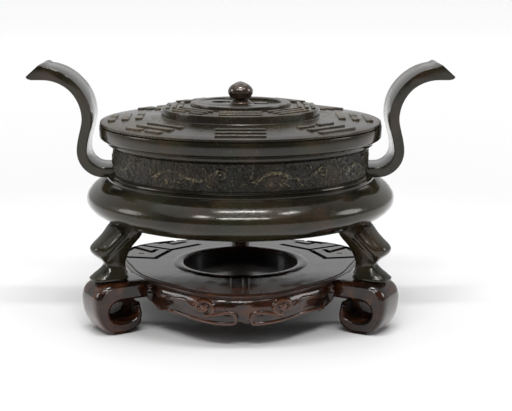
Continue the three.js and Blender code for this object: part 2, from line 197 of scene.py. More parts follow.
def bezier(start, pullOne, pullTwo, end, steps):
    out = []
    for step in range(1, steps + 1):
        t = step / steps
        u = 1 - t
        out.append(tuple(u**3 * a + 3 * u * u * t * b + 3 * u * t * t * c + t**3 * d
                         for a, b, c, d in zip(start, pullOne, pullTwo, end)))
    return out


# a smooth line through given points
def throughPoints(points, steps):
    points = [np.array(p, float) for p in points]
    ends = [2 * points[0] - points[1]] + points + [2 * points[-1] - points[-2]]
    out = []
    for i in range(1, len(ends) - 2):
        a, b, c, d = ends[i - 1:i + 3]
        for step in range(steps):
            t = step / steps
            out.append(tuple(0.5 * (2 * b + (c - a) * t + (2 * a - 5 * b + 4 * c - d) * t * t
                                    + (3 * b - a - 3 * c + d) * t**3)))
    out.append(tuple(points[-1]))
    return out


# points of a profile, each given by its steps out and up from one corner
def stepsFrom(x, z, *steps):
    return [(x + out, z + up) for out, up in steps]


def lineDistance(x, z, line):
    line = np.array(line, float)
    best = np.full(x.shape, 1e9)
    for a, b in zip(line[:-1], line[1:]):
        span = b - a
        t = np.clip(((x - a[0]) * span[0] + (z - a[1]) * span[1]) / max(span @ span, 1e-12), 0, 1)
        best = np.minimum(best, np.hypot(x - a[0] - t * span[0], z - a[1] - t * span[1]))
    return best


# a rounded ridge of a given half width, 1 along the line and 0 off it
def ridge(x, z, line, half):
    share = np.clip(lineDistance(x, z, line) / half, 0, 1)
    return np.sqrt(np.maximum(0, 1 - share * share))


def spiral(x, z, size, turns, start, way=1, steps=40, tight=0.12):
    line = []
    for step in range(steps + 1):
        share = step / steps
        angle = math.radians(start) + way * share * turns * 2 * math.pi
        reach = size * (1 - (1 - tight) * share)
        line.append((x + reach * math.cos(angle), z + reach * math.sin(angle)))
    return line


def setAttribute(piece, name, values):
    attribute = piece.data.attributes.new(name, "FLOAT", "POINT")
    attribute.data.foreach_set("value", np.ascontiguousarray(values, dtype=np.float32))


def finishPiece(piece, slotName, material, *nodes, angle=38):
    zeroPlace(piece)
    smoothShade(piece, angle)
    piece.data.materials.clear()
    piece.data.materials.append(material)
    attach(piece, "root")
    if nodes:
        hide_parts(*nodes)
    print("made", piece.name, len(piece.data.polygons))


# materials

def addNode(tree, kind, x=0, y=0, **values):
    node = tree.nodes.new(kind)
    node.location = (x, y)
    for key, value in values.items():
        setattr(node, key, value)
    return node


def addSocket(group, name, way, kind, value=None):
    socket = group.interface.new_socket(name=name, in_out=way, socket_type=kind)
    if value is not None:
        socket.default_value = value


# fine grain with pits: one mask for colour and one height for bump
def makeGrainGroup():
    group = bpy.data.node_groups.new("surfaceGrain", "ShaderNodeTree")
    addSocket(group, "Vector", "INPUT", "NodeSocketVector")
    for name, value in (("Scale", 400.0), ("Detail", 6.0), ("Low", 0.35), ("High", 0.65)):
        addSocket(group, name, "INPUT", "NodeSocketFloat", value)
    for name in ("Mask", "Height"):
        addSocket(group, name, "OUTPUT", "NodeSocketFloat")
    source = addNode(group, "NodeGroupInput", -600)
    sink = addNode(group, "NodeGroupOutput", 400)
    noise = addNode(group, "ShaderNodeTexNoise", -300)
    ramp = addNode(group, "ShaderNodeMapRange", 0, 0, interpolation_type="SMOOTHSTEP")
    link = group.links.new
    for name in ("Vector", "Scale", "Detail"):
        link(source.outputs[name], noise.inputs[name])
    link(noise.outputs["Fac"], ramp.inputs["Value"])
    link(source.outputs["Low"], ramp.inputs["From Min"])
    link(source.outputs["High"], ramp.inputs["From Max"])
    link(ramp.outputs["Result"], sink.inputs["Mask"])
    link(noise.outputs["Fac"], sink.inputs["Height"])
    return group


surfaceGrain = makeGrainGroup()


# settings: scale, detail, and the noise values where the mask starts and is full
def grain(tree, coords, settings):
    node = addNode(tree, "ShaderNodeGroup")
    node.node_tree = surfaceGrain
    tree.links.new(coords, node.inputs["Vector"])
    for name, value in zip(("Scale", "Detail", "Low", "High"), settings):
        node.inputs[name].default_value = value
    return node.outputs["Mask"]


def heightOf(mask):
    return mask.node.outputs["Height"]


def mixColour(tree, factor, one, two):
    node = addNode(tree, "ShaderNodeMix", data_type="RGBA")
    for socket, value in ((node.inputs[0], factor), (node.inputs[6], one), (node.inputs[7], two)):
        if isinstance(value, bpy.types.NodeSocket):
            tree.links.new(value, socket)
        elif isinstance(value, tuple):
            socket.default_value = (*value, 1)
        else:
            socket.default_value = value
    return node.outputs[2]


def mathNode(tree, operation, one, two):
    node = addNode(tree, "ShaderNodeMath", operation=operation)
    for socket, value in ((node.inputs[0], one), (node.inputs[1], two)):
        if isinstance(value, bpy.types.NodeSocket):
            tree.links.new(value, socket)
        else:
            socket.default_value = value
    return node.outputs[0]


def times(tree, one, two):
    return mathNode(tree, "MULTIPLY", one, two)


def plus(tree, one, two):
    return mathNode(tree, "ADD", one, two)


def mapRange(tree, value, fromLow, fromHigh, toLow, toHigh):
    node = addNode(tree, "ShaderNodeMapRange")
    tree.links.new(value, node.inputs["Value"])
    numbers = {"From Min": fromLow, "From Max": fromHigh, "To Min": toLow, "To Max": toHigh}
    for name, number in numbers.items():
        node.inputs[name].default_value = number
    return node.outputs["Result"]


def addBump(tree, height, depth, shader):
    bump = addNode(tree, "ShaderNodeBump")
    bump.inputs["Distance"].default_value = depth
    tree.links.new(height, bump.inputs["Height"])
    tree.links.new(bump.outputs["Normal"], shader.inputs["Normal"])


# how far a carved mesh is raised, from its own attribute
def reliefMask(tree, low, high, full):
    relief = addNode(tree, "ShaderNodeAttribute", attribute_name="relief")
    return mapRange(tree, relief.outputs["Fac"], low, high, 0.0, full)


def startMaterial(name):
    material = bpy.data.materials.new(name)
    material.use_nodes = True
    tree = material.node_tree
    return material, tree, tree.nodes["Principled BSDF"]


def objectCoords(tree, stretch=(1, 1, 1)):
    coords = addNode(tree, "ShaderNodeTexCoord")
    mapping = addNode(tree, "ShaderNodeMapping")
    mapping.inputs["Scale"].default_value = stretch
    tree.links.new(coords.outputs["Object"], mapping.inputs["Vector"])
    return mapping.outputs["Vector"]


bronzeValues = {
    "dark": (0.0072, 0.0062, 0.0040),
    "olive": (0.0165, 0.0145, 0.0074),
    "brown": (0.0280, 0.0165, 0.0090),
    "green": (0.0110, 0.0150, 0.0080),
    "worn": (0.100, 0.082, 0.046),
    "metallic": 0.2,
    "specular": 0.33,
    "roughLow": 0.11,
    "roughHigh": 0.26,
    "grainDepth": 0.00001,
    "fleck": 0.9,
    # settings of each grain
    "clouds": (26.0, 5.0, 0.40, 0.62),
    "warm": (55.0, 6.0, 0.48, 0.70),
    "verdigris": (90.0, 8.0, 0.56, 0.70),
    "fine": (800.0, 8.0, 0.40, 0.62),
    "speck": (1500.0, 3.0, 0.60, 0.72),
    "chips": (900.0, 3.0, 0.50, 0.58),
    "lines": (800.0, 3.0, 0.40, 0.60),
    "knots": (520.0, 2.0, 0.46, 0.56),
}


def makeBronze(name, changes=None, carved=False):
    values = dict(bronzeValues, **(changes or {}))
    material, tree, shader = startMaterial(name)
    link = tree.links.new
    coords = objectCoords(tree)
    clouds, warm, verdigris, fine, speck = [
        grain(tree, coords, values[key]) for key in ("clouds", "warm", "verdigris", "fine", "speck")]
    colour = mixColour(tree, clouds, values["dark"], values["olive"])
    colour = mixColour(tree, times(tree, warm, 0.7), colour, values["brown"])
    colour = mixColour(tree, times(tree, verdigris, 0.6), colour, values["green"])
    wear = times(tree, times(tree, speck, fine), 0.5)
    height = plus(tree, heightOf(fine), times(tree, heightOf(warm), 2.0))
    if carved:
        # chips worn bright on the raised figures, and a surface streaked upwards
        chips = plus(tree, grain(tree, coords, values["chips"]), 0.10)
        raised = times(tree, reliefMask(tree, 0.15, 0.9, 1.0), chips)
        wear = mathNode(tree, "MAXIMUM", wear, times(tree, raised, values["fleck"]))
        lines = grain(tree, objectCoords(tree, (1, 1, 0.16)), values["lines"])
        height = plus(tree, height, times(tree, lines, 1.4))
        height = plus(tree, height, times(tree, grain(tree, coords, values["knots"]), 1.2))
    link(mixColour(tree, wear, colour, values["worn"]), shader.inputs["Base Color"])
    rough = plus(tree, times(tree, fine, clouds), times(tree, verdigris, 0.5))
    link(mapRange(tree, rough, 0.0, 1.2, values["roughLow"], values["roughHigh"]), shader.inputs["Roughness"])
    shader.inputs["Metallic"].default_value = values["metallic"]
    shader.inputs["Specular IOR Level"].default_value = values["specular"]
    addBump(tree, height, values["grainDepth"], shader)
    return material


woodValues = {
    "deep": (0.006, 0.003, 0.002),
    "pore": (0.006, 0.003, 0.003),
    "red": (0.029, 0.0088, 0.0038),
    "amber": (0.105, 0.036, 0.012),
    "specular": 0.22,
    "coat": 0.25,
    "coatRough": 0.08,
    "roughLow": 0.05,
    "roughHigh": 0.15,
    "grainDepth": 0.00003,
    # the rubbed front of the deck: where it starts and is full, in metres from the axis
    "rubbed": (-0.022, -0.046),
    # settings of each grain
    "figure": (160.0, 8.0, 0.36, 0.64),
    "pores": (1400.0, 4.0, 0.58, 0.68),
    "clouds": (30.0, 4.0, 0.42, 0.62),
    "handled": (120.0, 6.0, 0.50, 0.70),
}


def makeWood(name, carved=False, sunk=False):
    values = woodValues
    material, tree, shader = startMaterial(name)
    link = tree.links.new
    coords = objectCoords(tree)
    figure = grain(tree, objectCoords(tree, (0.10, 1, 1)), values["figure"])
    pores = grain(tree, objectCoords(tree, (0.05, 1, 1)), values["pores"])
    clouds = grain(tree, coords, values["clouds"])
    handled = grain(tree, coords, values["handled"])
    colour = mixColour(tree, figure, values["deep"], values["red"])
    colour = mixColour(tree, times(tree, clouds, 0.45), colour, values["deep"])
    wear = times(tree, handled, 0.35)
    if carved:
        wear = mathNode(tree, "MAXIMUM", wear, reliefMask(tree, 0.3, 1.0, 0.4))
    colour = mixColour(tree, wear, colour, values["amber"])
    colour = mixColour(tree, times(tree, pores, 0.8), colour, values["pore"])
    rough = mapRange(tree, plus(tree, figure, handled), 0.0, 2.0, values["roughLow"], values["roughHigh"])
    if sunk:
        # the top board is a little duller, darkened with painted shade where it is sunk below its face, and
        # rubbed in front
        parts = addNode(tree, "ShaderNodeSeparateXYZ")
        link(coords, parts.inputs[0])
        # painted shade: the colour goes towards deep in the well and grooves sunk below the top face
        low = mapRange(tree, parts.outputs["Z"], (deckTop - 0.4) * mm, (deckTop - 1.1) * mm, 0.0, 1.0)
        colour = mixColour(tree, times(tree, low, 0.8), colour, values["deep"])
        start, full = values["rubbed"]
        rubbed = mapRange(tree, parts.outputs["Y"], axisY + start, axisY + full, 0.0, 1.0)
        rubbed = times(tree, rubbed, plus(tree, times(tree, handled, 0.4), 0.6))
        colour = mixColour(tree, times(tree, rubbed, 0.10), colour, values["amber"])
        rough = plus(tree, plus(tree, rough, 0.08), times(tree, low, 0.30))
        rough = plus(tree, rough, times(tree, rubbed, 0.42))
        link(mapRange(tree, rubbed, 0.0, 1.0, 0.45, 0.02), shader.inputs["Coat Weight"])
    else:
        shader.inputs["Coat Weight"].default_value = values["coat"]
    link(colour, shader.inputs["Base Color"])
    link(rough, shader.inputs["Roughness"])
    shader.inputs["Specular IOR Level"].default_value = values["specular"]
    shader.inputs["Coat Roughness"].default_value = values["coatRough"]
    height = mathNode(tree, "SUBTRACT", heightOf(figure), pores)
    height = plus(tree, height, times(tree, heightOf(handled), 2.0))
    addBump(tree, height, values["grainDepth"], shader)
    return material


bronze = makeBronze("bronzeCast")
bronzeBand = makeBronze("bronzeBand", {
    "roughLow": 0.28, "roughHigh": 0.55, "grainDepth": 0.00034, "worn": (0.165, 0.140, 0.078),
}, carved=True)
lidBronze = makeBronze("bronzeLid", {
    "dark": (0.0120, 0.0095, 0.0062), "olive": (0.030, 0.025, 0.015),
    "roughLow": 0.18, "roughHigh": 0.46, "grainDepth": 0.00006,
})
barsBronze = makeBronze("bronzeBars", {
    "dark": (0.024, 0.0190, 0.0115), "olive": (0.050, 0.040, 0.023), "brown": (0.068, 0.043, 0.023),
    "roughLow": 0.22, "roughHigh": 0.42, "grainDepth": 0.00005,
})
knobBronze = makeBronze("bronzeKnob", {
    "dark": (0.018, 0.0110, 0.0075), "olive": (0.034, 0.0190, 0.0105), "brown": (0.062, 0.028, 0.015),
    "green": (0.022, 0.015, 0.010), "specular": 0.6, "roughLow": 0.12, "roughHigh": 0.22,
})
wood = makeWood("lacqueredWood")
woodDeck = makeWood("lacqueredDeck", sunk=True)
woodCarved = makeWood("lacqueredWoodCarved", carved=True)
print("materials made")

# censer bowl

bowl = {
    "wall": 4.2,
    "under": deckTop + 23.8,
    "neckBase": deckTop + 48.8,
    "rimBase": deckTop + 67,
    "rimTop": deckTop + 76.1,
    "steps": 160,
}


def makeBowl():
    under, base, rim, top = bowl["under"], bowl["neckBase"], bowl["rimBase"], bowl["rimTop"]
    belly = throughPoints([
        (0.01, under),
        *stepsFrom(bellyRadius, under, (-38, 0.5), (-21, 1.5), (-10.2, 3.8), (-4, 6.9), (-0.8, 10.2),
                   (0, 13.4)),
        *stepsFrom(bellyRadius, base, (-0.9, -8.4), (-4.1, -4.6)),
        *stepsFrom(neckRadius, base, (6, -2.1), (3, -1)),
    ], 5)
    neck = stepsFrom(neckRadius, base, (3.1, -0.5), (2.9, 0.1), (2, 0.35), (1.6, 0.6), (1.8, 1), (1.6, 1.4),
                     (0.9, 1.6), (0.7, 1.8), (0.8, 2.1), (-0.5, 2.5))
    neck += stepsFrom(neckRadius, rim, (-0.5, -2.6), (0.5, -2.3), (0.9, -1.9), (0.6, -1.5), (0.5, -1.2),
                      (2.2, -0.9), (2.7, -0.5), (2.8, 0.6))
    lip = throughPoints([
        (neckRadius + 3.1, rim + 0.9), (rimRadius - 1.6, rim + 1.8), (rimRadius - 0.3, rim + 2.7),
    ], 4) + [(rimRadius, rim + 3.4), *stepsFrom(rimRadius, top, (0, -0.7), (-0.2, -0.2), (-0.7, 0))]
    wall = bowl["wall"]
    mouth = neckRadius - wall
    inside = [(mouth + 0.6, top), (mouth, top - 0.6), (mouth, base)] + throughPoints([
        (mouth, base - 1), (bellyRadius - 7.8, base - 6.6), (bellyRadius - wall, under + 13.4),
        *stepsFrom(bellyRadius, under + wall, (-7.8, 7), (-13.3, 4.2), (-22, 1.9), (-38, 0.6)),
        (0.01, under + wall),
    ], 4)
    return spinRound("censerBowl", belly + neck + lip + inside, bowl["steps"])


finishPiece(makeBowl(), "bronze", bronze, "burner", angle=32)

# relief band round the neck: curled beasts and clouds, repeated

band = {
    "repeats": 8,
    "columns": 112,
    "rows": 46,
    "height": 0.75,
    "low": bowl["neckBase"] + 2.2,
    "high": bowl["rimBase"] - 2.2,
    "thickness": 1.2,
    "sunk": 0.25,
    "stroke": 0.20,
    "strokePitch": 1.25,
    "plainEdge": 1.2,
}


def beastLines():
    back = [(-19, -2.4), (-14.5, 1.2), (-8, 2.2), (-1, -0.4), (6, -1.8), (11.5, 0.4), (14.5, 2.6)]
    lines = [(throughPoints(back, 6), 1.15)]
    # place, size, turns, start and way of each curl
    curls = [
        (17.0, 1.0, 2.9, 1.3, 130, -1), (-20.6, 0.6, 2.7, 1.2, -100, 1), (-5.5, -3.2, 2.1, 1.1, 60, 1),
        (8.2, 3.4, 2.1, 1.1, -120, 1), (1.2, 3.4, 1.8, 1.0, 200, -1), (-13, -3.2, 1.9, 1.1, 20, -1),
        (22.6, -3.0, 1.8, 1.0, 90, 1), (-16.5, 4.2, 1.6, 1.0, 0, 1), (-3.6, 5.0, 1.3, 0.9, 90, 1),
        (12.6, -3.9, 1.6, 1.0, 180, -1), (20.8, 4.6, 1.6, 1.0, 40, 1), (-24.4, -3.8, 1.6, 1.0, 220, -1),
        (2.6, -4.6, 1.4, 0.9, 300, 1), (-9.0, 5.4, 1.2, 0.9, 30, -1), (16.2, -5.0, 1.3, 0.9, 10, 1),
    ]
    lines += [(spiral(*curl), 0.16 + 0.14 * curl[2]) for curl in curls]
    for foot in (-11, -3, 4.5, 11):
        lines.append(([(foot, -1), (foot - 1.6, -3.4), (foot + 0.8, -4.8)], 0.5))
    return lines


def makeBand():
    count = band["repeats"] * band["columns"]
    deselectAll()
    bpy.ops.mesh.primitive_grid_add(x_subdivisions=count, y_subdivisions=band["rows"], size=2)
    piece = bpy.context.object
    piece.name = "neckRelief"
    points = meshPoints(piece)
    share = (points[:, 0] + 1) / 2
    tall = band["high"] - band["low"]
    z = (points[:, 1] + 1) / 2 * tall
    cell = 2 * math.pi * neckRadius / band["repeats"]
    along = (share * band["repeats"]) % 1.0 * cell - cell / 2
    side = z - tall / 2
    height = np.zeros(len(points))
    for line, half in beastLines():
        height = np.maximum(height, ridge(along, side, line, half) * min(1.0, half + 0.35))
    # figures rubbed away in places, and hammered strokes between them
    ring = share * 2 * math.pi
    height *= 0.62 + 0.38 * np.sin(ring * 5 + 0.7) * np.sin(ring * 13 + side * 0.5)
    sway = 0.6 * np.sin(side * 1.9 + ring * 31)
    hatch = np.sin((along + sway) * 2 * math.pi / band["strokePitch"])
    hatch *= 0.55 + 0.45 * np.sin(side * 1.3 + along * 0.9)
    hatch *= band["stroke"] * (1 - 0.7 * np.clip(height, 0, 1))
    total = height + np.where(np.minimum(z, tall - z) > band["plainEdge"], hatch, 0)
    radius = neckRadius - band["sunk"] + band["height"] * total
    setMeshPoints(piece, turnedPoints(radius, 0, band["low"] + z, share * 360))
    setAttribute(piece, "relief", height)
    tidyMesh(piece, 0.000002)
    applyModifier(piece, "SOLIDIFY", thickness=band["thickness"] * mm, offset=-1)
    return piece


finishPiece(makeBand(), "bronze", bronzeBand, angle=60)

# handles: one side outline, thickened and widened towards the tip

handle = {
    "thickness": 5.3,
    "rootDepth": 26,
    "tipDepth": 34,
    "root": bowl["under"] + 27.6,
    "bend": 11,
    "sweep": 23.7,
    "rise": 29.8,
    "tipRun": 7.8,
    "stub": 4.3,
    "lean": 3.2,
    "round": 0.55,
}


def handleOutline():
    root = handle["root"]
    stub = neckRadius + handle["stub"]
    waist = stub + handle["bend"]
    crest = waist - handle["lean"]
    top = root + handle["rise"] - 1
    spine = [(neckRadius - 3, root), (neckRadius, root), (stub - 1, root)]
    for step in range(11):
        turn = math.radians(-90 + step * 9)
        spine.append((stub + handle["bend"] * math.cos(turn), root + handle["bend"] * (1 + math.sin(turn))))
    spine += bezier(spine[-1], (waist, root + 17), (crest, top - 5), (crest, top), 8)
    sweep = handle["sweep"]
    for step in range(1, 18):
        turn = math.radians(180 - step * 5)
        spine.append((crest + sweep * (1 + math.cos(turn)), top + sweep * math.sin(turn)))
    spine = np.array(spine)
    way = np.gradient(spine, axis=0)
    way /= np.linalg.norm(way, axis=1)[:, None]
    share = np.linspace(0, 1, len(spine))
    half = handle["thickness"] / 2 * (1 + 0.3 * np.clip((share - 0.8) / 0.2, 0, 1))
    across = np.column_stack([-way[:, 1], way[:, 0]]) * half[:, None]
    tipX, tipZ = spine[-1]
    end = tipX + handle["tipRun"]
    lower = [tuple(p) for p in spine - across] + stepsFrom(end, tipZ, (-1.2, -3.4), (0.6, -2.9), (1.6, -1.8))
    upper = [tuple(p) for p in spine + across] + stepsFrom(end, tipZ, (-6.6, 4.4), (-5.2, 4.3))
    return lower + upper[::-1], tipZ


def makeHandle(name, way):
    outline, tipZ = handleOutline()
    points = [place(x, -0.5, z) for x, z in outline]
    piece = fillAndExtrude(name, points, (0, mm, 0))
    spots = meshPoints(piece)
    share = smoothStep(handle["root"], tipZ, spots[:, 2] / mm)
    depth = handle["rootDepth"] + (handle["tipDepth"] - handle["rootDepth"]) * share
    spots[:, 1] = axisY + (spots[:, 1] - axisY) * depth
    if way < 0:
        spots[:, 0] = 2 * axisX - spots[:, 0]
    setMeshPoints(piece, spots)
    tidyMesh(piece)
    bevelEdges(piece, handle["round"], 3, 40)
    return piece


finishPiece(makeHandle("handleRight", 1), "bronze", bronze, angle=30)
finishPiece(makeHandle("handleLeft", -1), "bronze", bronze, angle=30)

# three short feet: knee, ankle and spread toe

leg = {
    "reach": 6,
    "depth": 20.3,
    "width": 15,
    "sides": 20,
    "turns": (90, 210, 330),
    "sinew": [(-14, 1.02), (-9.5, 0.86), (-5.5, 0.68), (-3.6, 0.5)],
}


def legStations():
    outer = bellyRadius + leg["reach"]
    inner = outer - leg["depth"]
    width = leg["width"]
    span = bowl["under"] - legBase
    # share of the height, then what is added to the inner edge, the outer edge and the width
    rows = [
        (0, 0.3, -0.5, -0.8), (0.015, 0, 0, 0), (0.075, 0, 0.1, 0), (0.085, 0.7, -0.9, -1.0),
        (0.13, 0.8, -1.8, -1.6), (0.2, 1.1, -4.4, -3.4), (0.3, 1.5, -7.6, -5.0), (0.37, 1.5, -8.0, -5.0),
        (0.47, 0.8, -5.4, -3.2), (0.58, -0.2, -1.7, -0.4), (0.68, -1.4, -0.3, 1.6), (0.77, -3, -1.3, 2.6),
        (0.88, -6, -5.0, 3.2), (1.05, -9, -9.5, 3.6), (1.3, -8, -13, 2),
    ]
    return [(legBase + share * span, inner + a, outer + b, width + c) for share, a, b, c in rows]


def makeLeg(name, turn):
    deselectAll()
    sides = leg["sides"]
    bpy.ops.mesh.primitive_circle_add(vertices=sides, radius=0.01, fill_type="NGON")
    piece = bpy.context.object
    piece.name = name
    editWhole()
    stations = legStations()
    for step in range(len(stations) - 1):
        bpy.ops.mesh.extrude_region_move(TRANSFORM_OT_translate={"value": (0, 0, 0.01)})
    bpy.ops.object.mode_set(mode="OBJECT")
    points = meshPoints(piece)
    rowOf = np.rint(points[:, 2] / 0.01).astype(int)
    angle = np.arctan2(points[:, 1], points[:, 0])
    out = np.empty_like(points)
    for row, (z, inner, outer, width) in enumerate(stations):
        picked = rowOf == row
        c, s = np.cos(angle[picked]), np.sin(angle[picked])
        along = (inner + outer) / 2 + (outer - inner) / 2 * np.sign(c) * np.abs(c) ** 0.75
        side = width / 2 * np.sign(s) * np.abs(s) ** 0.75
        out[picked] = turnedPoints(along, side, z, turn)
    setMeshPoints(piece, out)
    tidyMesh(piece)
    applyModifier(piece, "SUBSURF", levels=3, render_levels=3)
    # a raised sinew and a groove under it cross both flanks of the knee
    spots = meshPoints(piece) - np.array([axisX, axisY, 0])
    c, s = math.cos(math.radians(turn)), math.sin(math.radians(turn))
    radius = (spots[:, 0] * c + spots[:, 1] * s) / mm
    side = (spots[:, 1] * c - spots[:, 0] * s) / mm
    z = spots[:, 2] / mm
    span = bowl["under"] - legBase
    line = [(bellyRadius + leg["reach"] + back, legBase + share * span) for back, share in leg["sinew"]]
    under = [(r - 2.6, low - 1.2) for r, low in line]
    rise = 0.9 * ridge(radius, z, line, 1.9) - 0.8 * ridge(radius, z, under, 1.5)
    side += np.sign(side) * rise * smoothStep(2.0, 5.0, np.abs(side))
    setMeshPoints(piece, turnedPoints(radius, side, z, turn))
    return piece


for legName, legTurn in zip(("legBack", "legLeft", "legRight"), leg["turns"]):
    finishPiece(makeLeg(legName, legTurn), "bronze", bronze, angle=50)

# lid

lid = {
    "edge": 1.4,
    "slope": 2.7,
    "wall": 2.8,
    "clearance": 1.2,
    "radius": rimRadius - lidInset,
    "step": 42.3,
    "stepHeight": 4.3,
    "crown": 26.7,
    "crownHeight": 1.9,
    "disc": 21.7,
    "recess": 1.7,
    "barHeight": 1.35,
    # the small discs of the two commas, as shares of the disc, and the knob's round seat
    "eyeShare": 0.2,
    "dotShare": 0.17,
    "seat": 7.6,
    "steps": 160,
}
lidShoulder = lidBase + lid["edge"] + lid["slope"]
stepTop = lidShoulder + lid["stepHeight"]
crownTop = stepTop + 0.7 + lid["crownHeight"]
recessFloor = crownTop - lid["recess"]


def makeLid():
    flangeOuter = neckRadius - bowl["wall"] - lid["clearance"]
    flangeInner = flangeOuter - lid["wall"]
    flangeLow = lidBase - flangeDepth
    radius, step, crown, disc, wall = lid["radius"], lid["step"], lid["crown"], lid["disc"], lid["wall"]
    core = step - wall
    profile = [
        (0.01, recessFloor - wall), (core - 0.6, stepTop - wall), (core, lidShoulder - wall),
        (flangeInner, lidBase + 0.9), (flangeInner, flangeLow), (flangeOuter, flangeLow),
        (flangeOuter, lidBase), (radius - 0.3, lidBase), (radius, lidBase + 0.3),
        *stepsFrom(radius, lidBase + lid["edge"], (0, -0.5), (-0.15, -0.15), (-0.6, 0.05), (-6, 0.55)),
        *stepsFrom(step, lidShoulder, (1.2, -0.1), (0.3, 0), (0, 0.3)),
        *stepsFrom(step, stepTop, (-0.1, -0.8), (-0.3, -0.3), (-0.9, 0)),
        *stepsFrom(crown, stepTop, (1, 0.65), (0.2, 0.7), (0, 0.9)),
        *stepsFrom(crown, crownTop, (-0.1, -0.5), (-0.3, -0.15), (-0.8, 0)),
        *stepsFrom(disc, crownTop, (0.8, 0), (0.3, -0.2), (0, -0.6)),
        (disc, recessFloor + 0.2), (disc - 0.3, recessFloor), (0.01, recessFloor),
    ]
    return spinRound("censerLid", profile, lid["steps"])


bars = {
    "outer": {"length": 25, "width": 3.7, "pitch": 7.2, "radius": 60.5, "top": lidShoulder - 1.5},
    "inner": {"length": 22, "width": 1.9, "pitch": 3.6, "radius": 34.8, "top": stepTop + 0.3},
    "whole": [(1, 1, 1), (0, 1, 1), (1, 0, 1), (0, 0, 1), (0, 0, 0), (1, 0, 0), (0, 1, 0), (1, 1, 0)],
    "gap": 0.16,
    "depth": 2.4,
    "sunk": 0.5,
    "slope": 0.08,
    "round": 0.35,
}


def makeBars(name, bar):
    made = []
    for i, rows in enumerate(bars["whole"]):
        for row, whole in enumerate(rows):
            reach = bar["radius"] + (row - 1) * bar["pitch"]
            gap = bar["length"] * bars["gap"]
            half = (bar["length"] - gap) / 2
            shift = (half + gap) / 2
            lengths = [(0, bar["length"])] if whole else [(-shift, half), (shift, half)]
            top = bar["top"] + (bar["radius"] - reach) * bars["slope"] + lid["barHeight"] - bars["sunk"]
            for along, length in lengths:
                turn = i * 45 - 90
                deselectAll()
                middle = around(reach, turn, top - bars["depth"] / 2, along)
                bpy.ops.mesh.primitive_cube_add(size=1, location=middle, rotation=(0, 0, math.radians(turn)))
                piece = bpy.context.object
                piece.scale = (bar["width"] * mm, length * mm, bars["depth"] * mm)
                made.append(piece)
    piece = joinPieces(made, name)
    zeroPlace(piece)
    bevelEdges(piece, bars["round"], 3)
    return piece


def arcPoints(x, radius, start, end, steps):
    turns = [math.radians(start + (end - start) * i / steps) for i in range(steps + 1)]
    return [(x + radius * math.cos(turn), radius * math.sin(turn)) for turn in turns]


def cutWith(piece, cutter):
    applyModifier(piece, "BOOLEAN", operation="DIFFERENCE", object=cutter, solver="EXACT")
    bpy.data.objects.remove(cutter, do_unlink=True)


def cylinderAt(x, middle, radius, depth, sides):
    deselectAll()
    bpy.ops.mesh.primitive_cylinder_add(vertices=sides, radius=radius * mm, depth=depth * mm,
                                        location=place(x, 0, middle))
    return bpy.context.object


def makeComma():
    disc = lid["disc"] + 0.3
    half = disc / 2
    outline = arcPoints(0, disc, 180, 360, 48)[:-1]
    outline += arcPoints(half, half, 0, -180, 24)[:-1]
    outline += arcPoints(-half, half, 0, 180, 24)[:-1]
    floor = recessFloor - 0.6
    rise = crownTop - 0.1 - floor
    piece = fillAndExtrude("yangComma", [place(x, y, floor) for x, y in outline], (0, 0, rise * mm))
    eye = cylinderAt(-half, crownTop, lid["disc"] * lid["eyeShare"], 6, 32)
    # the seat's cutter ends just under the recess's floor, so that no two faces coincide
    seat = cylinderAt(0, recessFloor + 2.7, lid["seat"], 6, 64)
    cutWith(piece, eye)
    cutWith(piece, seat)
    bevelEdges(piece, 0.25, 2, 50)
    return piece


def makeYinDot():
    piece = cylinderAt(lid["disc"] / 2, recessFloor + 0.4, lid["disc"] * lid["dotShare"], 1.8, 40)
    piece.name = "yinDot"
    zeroPlace(piece)
    bevelEdges(piece, 0.3, 2)
    return piece


finishPiece(makeLid(), "lid_bronze", lidBronze, "lid", angle=30)
finishPiece(makeBars("barsOuter", bars["outer"]), "lid_bronze", barsBronze, angle=40)
finishPiece(makeBars("barsInner", bars["inner"]), "lid_bronze", barsBronze, angle=40)
finishPiece(makeComma(), "lid_bronze", lidBronze, angle=40)
finishPiece(makeYinDot(), "lid_bronze", lidBronze, angle=40)

# bud knob

knob = {"height": (knobHigh[2] - knobLow[2]) / mm, "radius": 6.7, "foot": 6.1, "neck": 4.1, "steps": 96}


def makeKnob():
    low, height = knobLow[2] / mm, knob["height"]
    foot, neck, radius = knob["foot"], knob["neck"], knob["radius"]
    rows = [
        (foot, 0.05), (foot - 0.4, 0.10), (neck + 0.9, 0.15), (neck, 0.21), (neck + 0.2, 0.25),
        (neck + 1.4, 0.31), (radius - 0.7, 0.40), (radius, 0.53), (radius - 0.4, 0.68),
        (radius - 1.7, 0.81), (radius - 3.7, 0.91), (radius - 5.2, 0.965), (0.01, 1),
    ]
    profile = [(0.01, low), (foot - 0.3, low), (foot, low + 0.3)]
    profile += throughPoints([(out, low + share * height) for out, share in rows], 6)
    return spinRound("budKnob", profile, knob["steps"])


finishPiece(makeKnob(), "knob_bronze", knobBronze, "lid_knob", angle=50)

# stand

stand = {
    "board": 10,
    "lip": 1.3,
    "lipHeight": 3.2,
    "apron": 71,
    "waist": 60.5,
    "thickness": 8.5,
    "drop": 15.4,
    "reach": (standHigh[1] - axisY) / mm,
    "footWidth": 22,
    "band": 7.6,
    "root": 50,
    "well": 31,
    "wellDepth": 6.5,
    "bead": 2.8,
    "slotDepth": 1.3,
    "webWall": 5,
    # each knuckle's radius, and its sideways step from the middle of a foot
    "knuckle": (62.2, 15.6),
}


def apronReach(turn):
    off = abs((turn + 60) % 120 - 60)
    swell = math.cos(math.radians(min(off, 45) * 4)) * 0.5 + 0.5
    return stand["waist"] + (stand["apron"] - stand["waist"]) * swell


def planPoints(grow, z, step=2.5):
    turns = np.arange(0, 360, step)
    return [around(apronReach(turn) + grow, turn - 90, z) for turn in turns]


